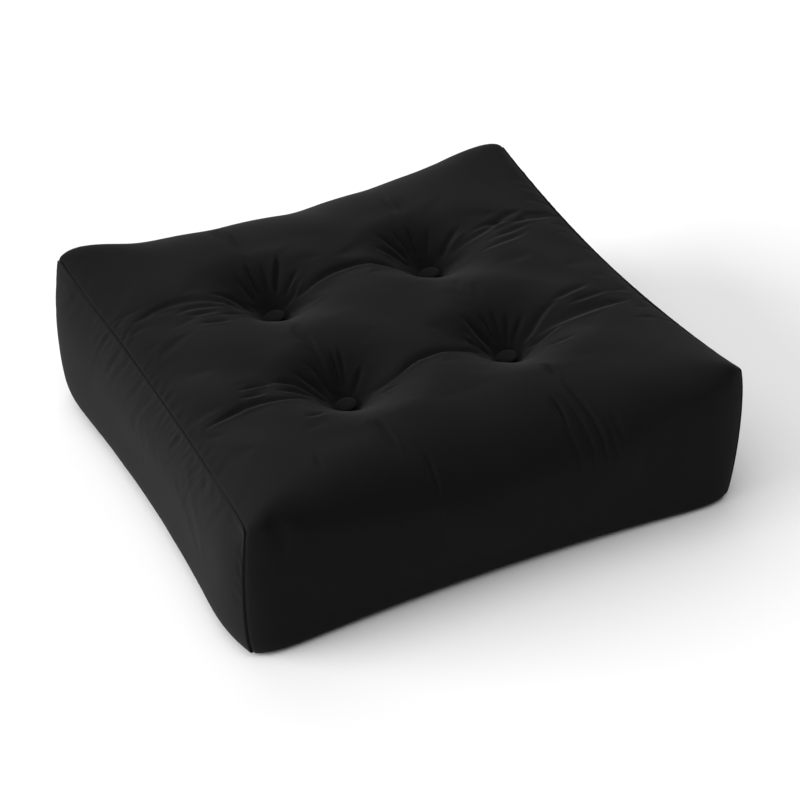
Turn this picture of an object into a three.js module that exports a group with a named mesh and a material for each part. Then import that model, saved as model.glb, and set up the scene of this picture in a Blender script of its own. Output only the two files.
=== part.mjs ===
// A low square floor pouf, button tufted: one wrap panel over the top, front, bottom and back,
// two end panels sewn in at the left and right, and four covered buttons.
// Millimetres, +Z up, the front face towards -Y, the origin on the floor under the middle.
import * as THREE from 'three';

// Main sizes
const HALF_WIDTH = 350; // middle to an end seam, at the corners
const HALF_DEPTH = 327; // middle to the front or back, at the corners
const CORNER_HEIGHT = 216; // the four upper corners above the floor
const CREST_HEIGHT = 227; // the filled top between the buttons

// How the end seams are drawn in between their corners
const SEAM_DIP = 20; // the middle of an upper end seam, below its corners
const SEAM_DRAW_IN = 13; // the same middle, towards the centre
const FLOOR_DRAW_IN = 20; // the middle of a lower end seam, towards the centre
const SEAM_ROLL_POWER = 5; // how late the top falls to the middle of an end seam
const SEAM_PUFF = 5; // the cloth beside an end seam, above it
const SEAM_PUFF_POWER = 26; // how close to the seam that fullness ends
const CORNER_LIFT = 10; // how much fuller the top is towards its corners
const SEAM_BOW = 8; // the upright seams, outwards at half height
const SEAM_BOW_POWER = 0.6;
const FLOOR_DRAW_POWER = 1.6; // how far the floor draw-in keeps to the middle of its seam

// Rounding of the wrap panel over its long edges
const CORNER_ROUND = { y: 9, z: 9 };
const FRONT_ROUND = { y: 105, z: 74 };
const BACK_ROUND = { y: 90, z: 56 };
const FLOOR_ROUND_CORNER = 22;
const FLOOR_ROUND_MIDDLE = 44;
const FACE_SWELL = 7; // front and back faces, outwards past the upright seams
const FACE_SWELL_POWER = 14;

// End panels
const PANEL_THICKNESS = 2;
const GAP = 0.3; // between two sewn pieces
const END_BULGE = 16; // an end panel, outwards at its middle
const END_SLACK = 2.6; // how much less the filling behind an end panel bulges
const END_BULGE_POWER = { top: 2.5, floor: 7, sides: 7 };
const END_UNDERCUT = { left: 7, right: 1 }; // how far the lower corners roll under
const END_UNDERCUT_HEIGHT = 34;

// Buttons and the pits that they pull in the top
const BUTTON_X = 119;
const BUTTON_Y = 113;
const BUTTON_RADIUS = 14;
const BUTTON_HEIGHT = 9;
const BUTTON_RIM = 3; // height of the upright rim under the dome
const BUTTON_BACK_RADIUS = 13;
const BUTTON_DOME_POWER = 0.7; // below 1 the dome is fuller than a half ellipse
const BUTTON_SIDES = 20;
const BUTTON_ARCS = 5;
const PIT_FLOOR = 176;
const PIT_FLOOR_RADIUS = 20;
const PIT_REACH = 112;
const PIT_POWER = 2.7;
const SEAM_FOLD_FADE = 24; // how late the folds fade out towards the end seams

// Distances along the wrap panel from the middle of the top: where the level part ends, then
// the long upper edge, then the face, then the round at the floor
const LEVEL_TRUE = 200; // up to here the distance is the plan position itself
const LEVEL_END = 250;
const EDGE_END = 350;
const FACE_END = 450;
const WRAP_END = 515;

const BLACK_CLOTH = { color: 0x191919, roughness: 0.95, metalness: 0 };
const END_CLOTH = { color: 0x1b1b1b, roughness: 0.95, metalness: 0 };
const BUTTON_CLOTH = { color: 0x151515, roughness: 0.9, metalness: 0 };

// Grid lines of the wrap panel: how many spans each stretch has
const CLOSE_REACH = 40; // the close lines about a button, either side of it
const WIDTH_SPANS = { inner: 5, button: 10, outer: 12 };
const DEPTH_SPANS = { inner: 5, button: 10, outer: 6 };
const ROUND_SPANS = 6;
const FACE_SPANS = 5;
const FLOOR_SPANS = 3;
const PANEL_LINE_STEP = 2; // an end panel uses every second line across its end

const mix = (a, b, t) => a + (b - a) * t;
const clamp = (value, low, high) => Math.min(Math.max(value, low), high);

// Grid lines from one place to another in equal steps, without the last
function steps(from, to, count) {
  return Array.from({ length: count }, (_, i) => mix(from, to, i / count));
}

// Grid lines across one half of the top, close together about the buttons
function halfLines(buttonAt, end, spans) {
  return [
    ...steps(0, buttonAt - CLOSE_REACH, spans.inner),
    ...steps(buttonAt - CLOSE_REACH, buttonAt + CLOSE_REACH, spans.button),
    ...steps(buttonAt + CLOSE_REACH, end, spans.outer),
  ];
}

// The same lines on both sides of the middle, ends included
function mirrored(lines) {
  return [...lines.slice(1).reverse().map((line) => -line), ...lines];
}

const widthLines = mirrored([
  ...halfLines(BUTTON_X, HALF_WIDTH, WIDTH_SPANS),
  HALF_WIDTH,
]).map((x) => x / HALF_WIDTH);
const wrapLines = mirrored([
  ...halfLines(BUTTON_Y, LEVEL_END, DEPTH_SPANS),
  ...steps(LEVEL_END, EDGE_END, ROUND_SPANS),
  ...steps(EDGE_END, FACE_END, FACE_SPANS),
  ...steps(FACE_END, WRAP_END, FLOOR_SPANS),
  WRAP_END,
]);

// Height of the top, before any pit or fold, at s across the width and v across the depth
function topHeight(s, v) {
  const end = Math.abs(s);
  const crest = CREST_HEIGHT + CORNER_LIFT * (s * v) ** 2;
  const puff = SEAM_PUFF + CORNER_LIFT * v * v;
  const fall = CREST_HEIGHT - SEAM_PUFF - CORNER_HEIGHT + SEAM_DIP * (1 - v * v);
  return crest - fall * end ** SEAM_ROLL_POWER - puff * end ** SEAM_PUFF_POWER;
}

// A point of the plain wrap panel and the way that it faces. s runs across the width from -1
// to 1, and q is the distance along the panel from the middle of the top, front negative.
function wrapPoint(s, q) {
  const side = Math.sign(q) || 1;
  const along = Math.abs(q);
  const middle = 1 - s * s;
  const round = side < 0 ? FRONT_ROUND : BACK_ROUND;
  const roundY = mix(CORNER_ROUND.y, round.y, middle);
  const roundZ = mix(CORNER_ROUND.z, round.z, middle);
  const floorRound = mix(FLOOR_ROUND_CORNER, FLOOR_ROUND_MIDDLE, middle);
  const swell = FACE_SWELL * (1 - Math.abs(s) ** FACE_SWELL_POWER);
  const level = HALF_DEPTH - roundY;
  const edgeTop = topHeight(s, 1);
  let y;
  let z;
  let facing;
  if (along <= LEVEL_END) {
    const outer = clamp((along - LEVEL_TRUE) / (LEVEL_END - LEVEL_TRUE), 0, 1);
    y = along <= LEVEL_TRUE ? along : mix(LEVEL_TRUE, level, outer);
    z = topHeight(s, y / HALF_DEPTH);
    facing = 0;
  } else if (along <= EDGE_END) {
    const angle = ((along - LEVEL_END) / (EDGE_END - LEVEL_END)) * (Math.PI / 2);
    y = level + (roundY + swell) * Math.sin(angle);
    z = topHeight(s, Math.min(y / HALF_DEPTH, 1)) - roundZ * (1 - Math.cos(angle));
    facing = Math.atan2(Math.sin(angle) * roundZ, Math.cos(angle) * roundY);
  } else if (along <= FACE_END) {
    const down = (along - EDGE_END) / (FACE_END - EDGE_END);
    y = HALF_DEPTH + swell;
    z = mix(edgeTop - roundZ, floorRound, down);
    facing = Math.PI / 2;
  } else {
    const angle = ((along - FACE_END) / (WRAP_END - FACE_END)) * (Math.PI / 2);
    y = HALF_DEPTH + swell - floorRound * (1 - Math.cos(angle));
    z = floorRound * (1 - Math.sin(angle));
    facing = Math.PI / 2 + angle;
  }
  const normal = new THREE.Vector3(0, side * Math.sin(facing), Math.cos(facing));
  return { point: new THREE.Vector3(s * endReach(Math.sign(s), y, z), side * y, z), normal };
}

// Distance from the middle to an end seam, at a place on the outline of the left or right end
function endReach(end, y, z) {
  const across = 1 - clamp(Math.abs(y) / HALF_DEPTH, 0, 1) ** 2;
  const up = clamp(z / CORNER_HEIGHT, 0, 1);
  const drawn = mix(FLOOR_DRAW_IN * across ** FLOOR_DRAW_POWER, SEAM_DRAW_IN * across, up);
  const bow = SEAM_BOW * Math.sin(Math.PI * up) ** SEAM_BOW_POWER * (1 - across);
  const low = clamp(1 - z / END_UNDERCUT_HEIGHT, 0, 1);
  const most = end < 0 ? END_UNDERCUT.left : END_UNDERCUT.right;
  const undercut = most * (1 - across) * (1 - Math.sqrt(1 - low * low));
  return HALF_WIDTH - drawn + bow - undercut;
}

const buttonPlaces = [
  { name: 'back_left', x: -BUTTON_X, y: BUTTON_Y },
  { name: 'back_right', x: BUTTON_X, y: BUTTON_Y },
  { name: 'front_left', x: -BUTTON_X, y: -BUTTON_Y },
  { name: 'front_right', x: BUTTON_X, y: -BUTTON_Y },
];

// Troughs and folds pressed into the wrap panel. Each runs from one place past a second to a
// third, given as x across and q along the panel. It is deep by depth at its middle, and left
// and right are its half widths on either side of its run.
const folds = [
  // Broad troughs along the rows of buttons
  { from: [-350, 122], past: [-235, 122], to: [-119, 113], depth: 4, left: 42, right: 42 },
  { from: [-119, 113], past: [0, 113], to: [119, 113], depth: 7, left: 42, right: 42 },
  { from: [119, 113], past: [235, 122], to: [350, 126], depth: 4, left: 42, right: 42 },
  { from: [-350, -120], past: [-235, -116], to: [-119, -113], depth: 4, left: 42, right: 42 },
  { from: [-119, -113], past: [0, -108], to: [119, -113], depth: 7, left: 42, right: 42 },
  { from: [119, -113], past: [235, -110], to: [350, -108], depth: 4, left: 42, right: 42 },
  { from: [-119, 113], past: [-124, 0], to: [-119, -113], depth: 2.5, left: 40, right: 40 },
  { from: [119, 113], past: [114, 0], to: [119, -113], depth: 2.5, left: 40, right: 40 },
  { from: [-119, 113], past: [-126, 230], to: [-129, 330], depth: 2, left: 36, right: 36 },
  { from: [119, 113], past: [119, 230], to: [119, 330], depth: 2, left: 36, right: 36 },
  { from: [-119, -113], past: [-121, -250], to: [-100, -380], depth: 2, left: 36, right: 36 },
  { from: [119, -113], past: [118, -250], to: [120, -380], depth: 2, left: 36, right: 36 },
  // Sharp folds between the buttons and out to the end seams
  { from: [-104, 114], past: [10, 117], to: [100, 106], depth: 6, left: 20, right: 8 },
  { from: [-104, -112], past: [0, -97], to: [102, -110], depth: 7, left: 20, right: 8 },
  { from: [-345, 138], past: [-230, 132], to: [-134, 114], depth: 5, left: 20, right: 9 },
  { from: [-345, -115], past: [-255, -114], to: [-136, -110], depth: 6, left: 18, right: 8 },
  { from: [138, 118], past: [235, 131], to: [345, 146], depth: 5, left: 16, right: 9 },
  { from: [150, 98], past: [215, 84], to: [300, 100], depth: 3.5, left: 10, right: 8 },
  { from: [136, -112], past: [215, -118], to: [345, -112], depth: 5, left: 14, right: 9 },
  { from: [150, -100], past: [235, -72], to: [300, -62], depth: 4, left: 12, right: 8 },
  { from: [140, -126], past: [185, -148], to: [235, -160], depth: 3, left: 12, right: 8 },
  { from: [-206, 152], past: [-178, 136], to: [-146, 125], depth: 4, left: 9, right: 7 },
  { from: [-256, 85], past: [-228, 76], to: [-200, 70], depth: 2.5, left: 9, right: 7 },
  { from: [-260, -74], past: [-230, -80], to: [-196, -87], depth: 3.5, left: 9, right: 7 },
  { from: [-194, -70], past: [-162, -87], to: [-140, -98], depth: 4, left: 9, right: 7 },
  { from: [-104, -130], past: [-80, -144], to: [-52, -156], depth: 3, left: 10, right: 7 },
  // Lighter folds to the back edge, between the rows, and over the front edge
  { from: [-121, 145], past: [-127, 225], to: [-130, 310], depth: 3, left: 8, right: 9 },
  { from: [121, 145], past: [119, 215], to: [117, 300], depth: 3, left: 8, right: 9 },
  { from: [-125, 88], past: [-127, 0], to: [-122, -80], depth: 3, left: 8, right: 10 },
  { from: [113, 88], past: [110, 0], to: [117, -80], depth: 2.5, left: 8, right: 10 },
  { from: [-119, -140], past: [-122, -225], to: [-124, -300], depth: 3.5, left: 8, right: 10 },
  { from: [-104, -276], past: [-99, -325], to: [-92, -410], depth: 3.5, left: 8, right: 9 },
  { from: [119, -140], past: [120, -215], to: [121, -270], depth: 3, left: 8, right: 9 },
  { from: [94, -256], past: [98, -300], to: [106, -356], depth: 3.5, left: 8, right: 8 },
  { from: [109, -286], past: [117, -318], to: [128, -356], depth: 3.5, left: 8, right: 8 },
  { from: [132, -286], past: [136, -332], to: [144, -386], depth: 3.5, left: 8, right: 8 },
  { from: [-221, -254], past: [-226, -274], to: [-231, -298], depth: 2, left: 8, right: 8 },
];

// Pleats that gather at each button: the way each runs from its button, in degrees from +X
// towards +Y, how far it reaches, and how deep it is
const pleats = {
  back_left: [
    { angle: 28, reach: 62, depth: 4 },
    { angle: 64, reach: 92, depth: 5 },
    { angle: 99, reach: 84, depth: 4 },
    { angle: 132, reach: 80, depth: 4 },
  ],
  back_right: [
    { angle: 27, reach: 80, depth: 4 },
    { angle: 88, reach: 76, depth: 4 },
    { angle: 128, reach: 92, depth: 5 },
    { angle: 160, reach: 70, depth: 4 },
  ],
  front_left: [
    { angle: 43, reach: 62, depth: 4 },
    { angle: 66, reach: 86, depth: 4 },
    { angle: 80, reach: 88, depth: 4 },
    { angle: 101, reach: 88, depth: 4 },
    { angle: 148, reach: 80, depth: 4 },
  ],
  front_right: [
    { angle: 42, reach: 62, depth: 4 },
    { angle: 63, reach: 80, depth: 5 },
    { angle: 87, reach: 84, depth: 4 },
    { angle: 106, reach: 80, depth: 4 },
    { angle: 160, reach: 72, depth: 4 },
  ],
};
const PLEAT_HALF_WIDTH = 7;
const PLEAT_LEAN = 0.7; // below 1 a pleat is deepest nearer to its button

// The middle control point of the curve that runs past a fold's second place
function foldCurve({ from, past, to }) {
  const middle = past.map((value, k) => 2 * value - (from[k] + to[k]) / 2);
  const places = [from, middle, to].map(([x, q]) => new THREE.Vector2(x, q));
  return new THREE.QuadraticBezierCurve(...places);
}

const FOLD_STEPS = 16;
const FOLD_FADE = 0.2; // share of its run over which a fold fades at each end
const foldRuns = folds.map((fold) => ({ ...fold, places: foldCurve(fold).getPoints(FOLD_STEPS) }));

const smooth = (t) => t * t * (3 - 2 * t);

// Where the nearest place of a fold's run lies: its share of the run, and the distance to it,
// positive to the left of the run
function nearestOnRun(places, x, q) {
  let best = { away: Infinity, share: 0, left: 0 };
  for (let k = 0; k + 1 < places.length; k += 1) {
    const start = places[k];
    const run = places[k + 1].clone().sub(start);
    const to = new THREE.Vector2(x, q).sub(start);
    const part = clamp(to.dot(run) / run.lengthSq(), 0, 1);
    const away = to.clone().addScaledVector(run, -part).length();
    if (away < best.away) {
      best = { away, share: (k + part) / (places.length - 1), left: run.cross(to) };
    }
  }
  return best;
}

// The depth of all the folds together at a place of the wrap panel
function foldDepth(x, q) {
  let depth = 0;
  for (const fold of foldRuns) {
    const { away, share, left } = nearestOnRun(fold.places, x, q);
    const fade = smooth(clamp(Math.min(share, 1 - share) / FOLD_FADE, 0, 1));
    depth += fold.depth * fade * Math.exp(-((away / (left > 0 ? fold.left : fold.right)) ** 2));
  }
  return depth;
}

// The depth of one button's pleats together
function pleatDepth(place, x, q) {
  const away = Math.hypot(x - place.x, q - place.y);
  const heading = Math.atan2(q - place.y, x - place.x);
  let depth = 0;
  for (const { angle, reach, depth: most } of pleats[place.name]) {
    const turn = heading - THREE.MathUtils.degToRad(angle);
    const aside = Math.atan2(Math.sin(turn), Math.cos(turn)) * away;
    const part = clamp((away - PIT_FLOOR_RADIUS) / (reach - PIT_FLOOR_RADIUS), 0, 1);
    const lift = Math.sin(Math.PI * part ** PLEAT_LEAN);
    depth += most * lift * Math.exp(-((aside / PLEAT_HALF_WIDTH) ** 2));
  }
  return depth;
}

// How far a place of the wrap panel is sunk below the plain shape, by the pits about the
// buttons, the folds and the pleats
function sunk(x, q, height) {
  let pit = 0;
  let gathered = 0;
  for (const place of buttonPlaces) {
    const away = Math.hypot(x - place.x, q - place.y);
    const t = clamp((away - PIT_FLOOR_RADIUS) / (PIT_REACH - PIT_FLOOR_RADIUS), 0, 1);
    pit += (1 - t) ** PIT_POWER;
    gathered += pleatDepth(place, x, q);
  }
  return (height - PIT_FLOOR) * pit + (foldDepth(x, q) + gathered) * (1 - pit);
}

// A point of the finished wrap panel, set in from the end seams by a panel's thickness
function bodyPoint(s, q) {
  const { point, normal } = wrapPoint(s, q);
  const fade = 1 - Math.abs(s) ** SEAM_FOLD_FADE;
  point.x -= s * (PANEL_THICKNESS + GAP);
  return point.addScaledVector(normal, -fade * sunk(point.x, q, point.z));
}

// Adds a quad as two triangles, split along its shorter diagonal
function addQuad(points, faces, a, b, c, d) {
  if (points[a].distanceToSquared(points[c]) <= points[b].distanceToSquared(points[d])) {
    faces.push([a, b, c], [a, c, d]);
  } else {
    faces.push([a, b, d], [b, c, d]);
  }
}

function toGeometry(points, faces) {
  const geometry = new THREE.BufferGeometry();
  const positions = new Float32Array(points.flatMap((p) => [p.x, p.y, p.z]));
  geometry.setAttribute('position', new THREE.BufferAttribute(positions, 3));
  geometry.setIndex(faces.flat());
  geometry.computeVertexNormals();
  return geometry;
}

const cornerLine = ROUND_SPANS / 2 + FACE_SPANS + FLOOR_SPANS; // from the floor to a seam corner

// A place inside an end outline, blended from its four sides and bulged outwards. across runs
// from the front to the back and down from the top to the floor, both from 0 to 1.
function endPoint(side, across, down, edge, swell) {
  const { top, floor, front, back, corners } = edge;
  const point = new THREE.Vector3()
    .addScaledVector(top, 1 - down)
    .addScaledVector(floor, down)
    .addScaledVector(front, 1 - across)
    .addScaledVector(back, across)
    .addScaledVector(corners.topFront, -(1 - across) * (1 - down))
    .addScaledVector(corners.topBack, -across * (1 - down))
    .addScaledVector(corners.floorFront, -(1 - across) * down)
    .addScaledVector(corners.floorBack, -across * down);
  const power = down < 0.5 ? END_BULGE_POWER.top : END_BULGE_POWER.floor;
  const upright = 1 - Math.abs(2 * down - 1) ** power;
  const bulge = upright * (1 - Math.abs(2 * across - 1) ** END_BULGE_POWER.sides);
  point.x += side * swell * bulge;
  return point;
}

// One end as a grid of points: rows from the top to the floor, each from the front to the back.
// offset moves it outwards, swell bulges it, and step leaves out lines across it.
function endGrid(side, { offset, swell, step }) {
  const corner = cornerLine;
  const outline = wrapLines.map((q) => {
    const { point } = wrapPoint(side, q);
    point.x += side * offset;
    return point;
  });
  const last = outline.length - 1;
  const columns = last - 2 * corner;
  const floorAt = (across) => {
    const point = outline[0].clone().lerp(outline[last], across);
    point.x = side * (endReach(side, point.y, 0) + offset);
    return point;
  };
  const corners = {
    topFront: outline[corner],
    topBack: outline[last - corner],
    floorFront: outline[0],
    floorBack: outline[last],
  };
  const { topFront, topBack } = corners;
  const acrossAt = (m) => (outline[corner + m].y - topFront.y) / (topBack.y - topFront.y);
  const rows = [];
  for (let k = 0; k <= corner; k += 1) {
    const down = 1 - outline[corner - k].z / topFront.z;
    const row = [];
    for (let m = 0; m <= columns; m += step) {
      const edge = {
        top: outline[corner + m],
        floor: floorAt(acrossAt(m)),
        front: outline[corner - k],
        back: outline[last - corner + k],
        corners,
      };
      row.push(endPoint(side, acrossAt(m), down, edge, swell));
    }
    rows.push(row);
  }
  return rows;
}

// The filled body: the wrap panel, its two closed ends and its flat underside
function bodyGeometry() {
  const points = [];
  const faces = [];
  const across = widthLines.length;
  const along = wrapLines.length;
  for (const s of widthLines) {
    for (const q of wrapLines) points.push(bodyPoint(s, q));
  }
  const at = (i, j) => i * along + j;
  for (let i = 0; i + 1 < across; i += 1) {
    for (let j = 0; j + 1 < along; j += 1) {
      addQuad(points, faces, at(i, j), at(i + 1, j), at(i + 1, j + 1), at(i, j + 1));
    }
  }
  const floorEdges = [-1, 1].map((side) => addEnd(points, faces, side, at));
  const front = widthLines.map((_, i) => at(i, 0));
  const back = widthLines.map((_, i) => at(i, along - 1));
  const rim = [
    ...front,
    ...floorEdges[1].slice(1, -1),
    ...back.reverse(),
    ...floorEdges[0].slice(1, -1).reverse(),
  ];
  const flat = rim.map((index) => new THREE.Vector2(points[index].x, points[index].y));
  for (const [a, b, c] of THREE.ShapeUtils.triangulateShape(flat, [])) {
    faces.push([rim[a], rim[c], rim[b]]);
  }
  return toGeometry(points, faces);
}

// Closes one end of the body and gives the points of its lower edge, front to back
function addEnd(points, faces, side, at) {
  const i = side < 0 ? 0 : widthLines.length - 1;
  const last = wrapLines.length - 1;
  const offset = -(PANEL_THICKNESS + GAP);
  const grid = endGrid(side, { offset, swell: END_BULGE - END_SLACK, step: 1 });
  const columns = grid[0].length - 1;
  const indexAt = grid.map((row, k) =>
    row.map((point, m) => {
      if (k === 0) return at(i, cornerLine + m);
      if (m === 0) return at(i, cornerLine - k);
      if (m === columns) return at(i, last - cornerLine + k);
      points.push(point);
      return points.length - 1;
    }),
  );
  for (let k = 0; k < cornerLine; k += 1) {
    for (let m = 0; m < columns; m += 1) {
      const quad = [
        indexAt[k][m],
        indexAt[k + 1][m],
        indexAt[k + 1][m + 1],
        indexAt[k][m + 1],
      ];
      if (side < 0) quad.reverse();
      addQuad(points, faces, ...quad);
    }
  }
  return indexAt[cornerLine];
}

// An end panel: the outer face, the inner face and the rim between them
function endPanelGeometry(side) {
  const step = PANEL_LINE_STEP;
  const outer = endGrid(side, { offset: 0, swell: END_BULGE, step });
  const inner = endGrid(side, { offset: -PANEL_THICKNESS, swell: END_BULGE, step });
  const rows = outer.length;
  const columns = outer[0].length;
  const points = [...outer.flat(), ...inner.flat()];
  const faces = [];
  const at = (layer, k, m) => (layer * rows + k) * columns + m;
  const add = (...quad) => {
    if (side > 0) quad.reverse();
    addQuad(points, faces, ...quad);
  };
  for (let k = 0; k + 1 < rows; k += 1) {
    for (let m = 0; m + 1 < columns; m += 1) {
      add(at(0, k, m), at(0, k, m + 1), at(0, k + 1, m + 1), at(0, k + 1, m));
      add(at(1, k, m), at(1, k + 1, m), at(1, k + 1, m + 1), at(1, k, m + 1));
    }
  }
  for (let m = 0; m + 1 < columns; m += 1) {
    add(at(0, 0, m), at(1, 0, m), at(1, 0, m + 1), at(0, 0, m + 1));
    add(at(0, rows - 1, m), at(0, rows - 1, m + 1), at(1, rows - 1, m + 1), at(1, rows - 1, m));
  }
  for (let k = 0; k + 1 < rows; k += 1) {
    const far = columns - 1;
    add(at(0, k, 0), at(0, k + 1, 0), at(1, k + 1, 0), at(1, k, 0));
    add(at(0, k, far), at(1, k, far), at(1, k + 1, far), at(0, k + 1, far));
  }
  return toGeometry(points, faces);
}

// A covered button: a low dome over a short upright rim, with a flat back
function buttonGeometry() {
  const dome = BUTTON_HEIGHT - BUTTON_RIM;
  const profile = [new THREE.Vector2(0, 0), new THREE.Vector2(BUTTON_BACK_RADIUS, 0)];
  for (let k = 0; k <= BUTTON_ARCS; k += 1) {
    const angle = (k / BUTTON_ARCS) * (Math.PI / 2);
    const reach = k === BUTTON_ARCS ? 0 : Math.cos(angle) ** BUTTON_DOME_POWER;
    profile.push(new THREE.Vector2(BUTTON_RADIUS * reach, BUTTON_RIM + dome * Math.sin(angle)));
  }
  return new THREE.LatheGeometry(profile, BUTTON_SIDES);
}

function mesh(name, geometry, cloth) {
  const result = new THREE.Mesh(geometry, new THREE.MeshStandardMaterial(cloth));
  result.name = name;
  return result;
}

const pouf = new THREE.Group();
pouf.add(mesh('cushion_body', bodyGeometry(), BLACK_CLOTH));
pouf.add(mesh('end_panel_left', endPanelGeometry(-1), END_CLOTH));
pouf.add(mesh('end_panel_right', endPanelGeometry(1), END_CLOTH));
for (const place of buttonPlaces) {
  const button = mesh(`button_${place.name}`, buttonGeometry(), BUTTON_CLOTH);
  button.rotation.x = Math.PI / 2;
  button.position.set(place.x, place.y, PIT_FLOOR + GAP);
  pouf.add(button);
}

export default pouf;
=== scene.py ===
"""A low square floor pouf in black cloth with four buttons, in a plain studio."""

import logging
import math
from collections.abc import Mapping, Sequence
from dataclasses import dataclass, field, replace
from enum import Enum
from typing import Any

import bpy
import numpy as np
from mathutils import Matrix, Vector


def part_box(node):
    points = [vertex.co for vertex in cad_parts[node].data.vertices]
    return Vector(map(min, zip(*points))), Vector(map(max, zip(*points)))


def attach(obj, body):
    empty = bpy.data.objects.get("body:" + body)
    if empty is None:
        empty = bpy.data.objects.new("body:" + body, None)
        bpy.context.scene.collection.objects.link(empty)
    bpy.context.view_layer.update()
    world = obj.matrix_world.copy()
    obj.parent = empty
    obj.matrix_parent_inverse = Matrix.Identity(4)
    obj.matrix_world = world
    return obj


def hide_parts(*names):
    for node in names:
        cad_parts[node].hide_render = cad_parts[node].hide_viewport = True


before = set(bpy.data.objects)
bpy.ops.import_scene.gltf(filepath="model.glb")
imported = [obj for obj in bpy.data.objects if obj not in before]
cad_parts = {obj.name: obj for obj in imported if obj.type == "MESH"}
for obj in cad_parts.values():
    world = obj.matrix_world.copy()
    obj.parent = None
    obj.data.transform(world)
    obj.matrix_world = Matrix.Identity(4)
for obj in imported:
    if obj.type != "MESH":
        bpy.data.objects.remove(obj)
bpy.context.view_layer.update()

MM = 0.001
ROOT = "root"

Array = np.ndarray
Pair = tuple[float, float]
log = logging.getLogger("pouf")


class End(Enum):
    """An end of the pouf, with the way that its panel faces along X."""

    LEFT = -1
    RIGHT = 1


def mix(low: Array | float, high: Array | float, share: Array | float) -> Array | float:
    """Blends from low to high by a share from 0 to 1."""
    return low + (high - low) * share


def smooth(share: Array) -> Array:
    """Eases a share from 0 to 1 at both ends."""
    t = np.clip(share, 0.0, 1.0)
    return t * t * (3.0 - 2.0 * t)


def way(place: Array, start: float, end: float) -> Array:
    """The share from 0 to 1 of the way from start to end at each place."""
    return np.clip((place - start) / (end - start), 0.0, 1.0)


def between(a: Array, b: Array, c: Array, d: Array, share: Array) -> Array:
    """Values on a smooth curve through a, b, c and d, at a share of the way from b to c."""
    bend = 2.0 * b + (c - a) * share + (2.0 * a - 5.0 * b + 4.0 * c - d) * share**2
    return 0.5 * (bend + (3.0 * b - 3.0 * c + d - a) * share**3)


def grade(stops: Sequence[Pair]) -> Array:
    """Grid lines whose spacing changes from stop to stop.

    Args:
        stops: place and spacing there, in rising places.

    Returns:
        The places of the lines, with the first and last stop among them.
    """
    lines = [np.array([stops[0][0]])]
    for (start, near), (end, far) in zip(stops, stops[1:]):
        count = max(1, round(2.0 * (end - start) / (near + far)))
        share = np.arange(1, count + 1) / count
        bend = (far - near) / (far + near)
        eased = share * (1.0 - bend) + share * share * bend
        lines.append(start + (end - start) * eased)
    return np.concatenate(lines)


def mirrored(lines: Array) -> Array:
    """Lines from 0 outwards, repeated on the other side of 0."""
    return np.concatenate([-lines[:0:-1], lines])


@dataclass(frozen=True)
class Waves:
    """Slow unevenness made of a few waves at odd angles, the same in every run.

    The waves are from shortest to about shortest and change together as long as pitch.
    """

    pitch: float
    seed: int
    count: int = 7
    shortest: float = 0.7
    change: float = 0.6

    def at(self, u: Array, v: Array) -> Array:
        """The unevenness at places (u, v), about from -1 to 1."""
        turns = np.random.default_rng(self.seed).uniform(0.0, 2.0 * math.pi, (self.count, 2))
        total = np.zeros_like(u + v)
        for index, (heading, phase) in enumerate(turns):
            reach = 2.0 * math.pi / (self.pitch * (self.shortest + self.change * index / self.count))
            total = total + np.sin((u * math.cos(heading) + v * math.sin(heading)) * reach + phase)
        return total / math.sqrt(self.count)


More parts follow.
